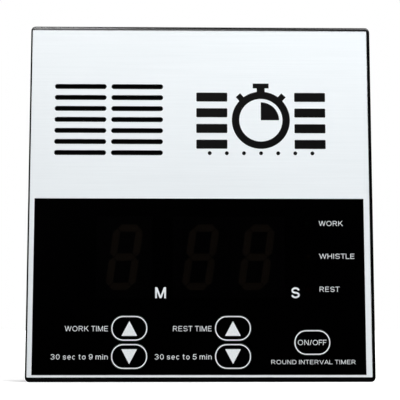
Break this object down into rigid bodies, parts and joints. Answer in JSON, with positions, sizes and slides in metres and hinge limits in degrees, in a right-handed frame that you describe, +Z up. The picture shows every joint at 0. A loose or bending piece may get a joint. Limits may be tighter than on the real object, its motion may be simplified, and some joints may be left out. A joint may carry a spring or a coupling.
{
  "type": "interval timer",
  "caption": "Flat square interval timer with a slotted speaker grille, a smoked digit display window, press keys and keyholes for wall hanging.",
  "frame": {"origin": "middle of the base the case stands on, half way through its depth", "axes": "+X right seen from the front, -Y out of the front face, +Z up"},
  "size_m": [0.3, 0.05, 0.311],
  "materials": {
    "case_plastic": "satin",
    "cover_plastic": "matte",
    "face_label": "satin",
    "smoked_window": "gloss",
    "key_plastic": "gloss",
    "white_print": "matte",
    "black_print": "matte",
    "switch_plunger": "matte",
    "switch_body": "matte",
    "circuit_board": "satin",
    "black_screw_steel": "satin",
    "zinc_screw_steel": "satin",
    "display_body": "matte",
    "display_segment": "satin",
    "lamp_green": "gloss",
    "lamp_amber": "gloss",
    "lamp_red": "gloss",
    "spacer_nylon": "matte",
    "chip_epoxy": "matte",
    "crystal_can": "satin",
    "capacitor_sleeve": "satin",
    "heatsink_aluminium": "satin",
    "resistor_body": "satin",
    "connector_nylon": "matte",
    "inlet_plastic": "matte",
    "inlet_metal": "satin",
    "lead_red": "satin",
    "lead_black": "satin",
    "speaker_cloth": "matte",
    "gasket_foam": "matte",
    "basket_steel": "satin",
    "magnet_steel": "satin",
    "ferrite": "matte",
    "cone_paper": "matte",
    "surround_rubber": "matte",
    "spider_cloth": "matte",
    "voice_coil": "satin",
    "terminal_board": "matte"
  },
  "bodies": {
    "case": {"front_housing": "case_plastic", "rear_cover": "cover_plastic", "face_label": "face_label", "smoked_window": "smoked_window", "case_screws": "black_screw_steel", "switch_bodies": "switch_body", "main_board": "circuit_board", "board_screws": "zinc_screw_steel", "minutes_display": "display_body", "tens_display": "display_body", "units_display": "display_body", "minutes_segments": "display_segment", "tens_segments": "display_segment", "units_segments": "display_segment", "work_lamp": "lamp_green", "whistle_lamp": "lamp_amber", "rest_lamp": "lamp_red", "lamp_spacers": "spacer_nylon", "controller_chip": "chip_epoxy", "crystal": "crystal_can", "capacitors": "capacitor_sleeve", "voltage_regulator": "chip_epoxy", "heatsink": "heatsink_aluminium", "amplifier_chip": "chip_epoxy", "driver_transistors": "chip_epoxy", "resistors": "resistor_body", "board_connectors": "connector_nylon", "inlet_body": "inlet_plastic", "inlet_pin": "inlet_metal", "inlet_nut": "inlet_metal", "power_lead_red": "lead_red", "power_lead_black": "lead_black", "speaker_cloth": "speaker_cloth", "speaker_gasket": "gasket_foam", "speaker_frame": "basket_steel", "speaker_screws": "zinc_screw_steel", "speaker_top_plate": "magnet_steel", "speaker_magnet": "ferrite", "speaker_yoke": "magnet_steel", "speaker_surround": "surround_rubber", "speaker_spider": "spider_cloth", "speaker_terminals": "terminal_board", "speaker_lead_red": "lead_red", "speaker_lead_black": "lead_black"},
    "work_up_press": {"work_up_key": "key_plastic", "work_up_plunger": "switch_plunger"},
    "work_down_press": {"work_down_key": "key_plastic", "work_down_plunger": "switch_plunger"},
    "rest_up_press": {"rest_up_key": "key_plastic", "rest_up_plunger": "switch_plunger"},
    "rest_down_press": {"rest_down_key": "key_plastic", "rest_down_plunger": "switch_plunger"},
    "power_press": {"power_key": "key_plastic", "power_plunger": "switch_plunger"},
    "cone_assembly": {"speaker_cone": "cone_paper", "speaker_dust_cap": "cone_paper", "speaker_voice_coil": "voice_coil"}
  },
  "joints": [
    {"name": "work_up_travel", "type": "slide", "parent": "case", "child": "work_up_press", "axis": [0, 1, 0], "range_m": [0, 0.0005], "stiffness_N_per_m": 2000, "springref_m": -0.0004},
    {"name": "work_down_travel", "type": "slide", "parent": "case", "child": "work_down_press", "axis": [0, 1, 0], "range_m": [0, 0.0005], "stiffness_N_per_m": 2000, "springref_m": -0.0004},
    {"name": "rest_up_travel", "type": "slide", "parent": "case", "child": "rest_up_press", "axis": [0, 1, 0], "range_m": [0, 0.0005], "stiffness_N_per_m": 2000, "springref_m": -0.0004},
    {"name": "rest_down_travel", "type": "slide", "parent": "case", "child": "rest_down_press", "axis": [0, 1, 0], "range_m": [0, 0.0005], "stiffness_N_per_m": 2000, "springref_m": -0.0004},
    {"name": "power_travel", "type": "slide", "parent": "case", "child": "power_press", "axis": [0, 1, 0], "range_m": [0, 0.0005], "stiffness_N_per_m": 2000, "springref_m": -0.0004},
    {"name": "cone_excursion", "type": "slide", "parent": "case", "child": "cone_assembly", "axis": [0, 1, 0], "range_m": [-0.001, 0.001], "stiffness_N_per_m": 1500, "deforming": ["speaker_surround", "speaker_spider"]}
  ]
}
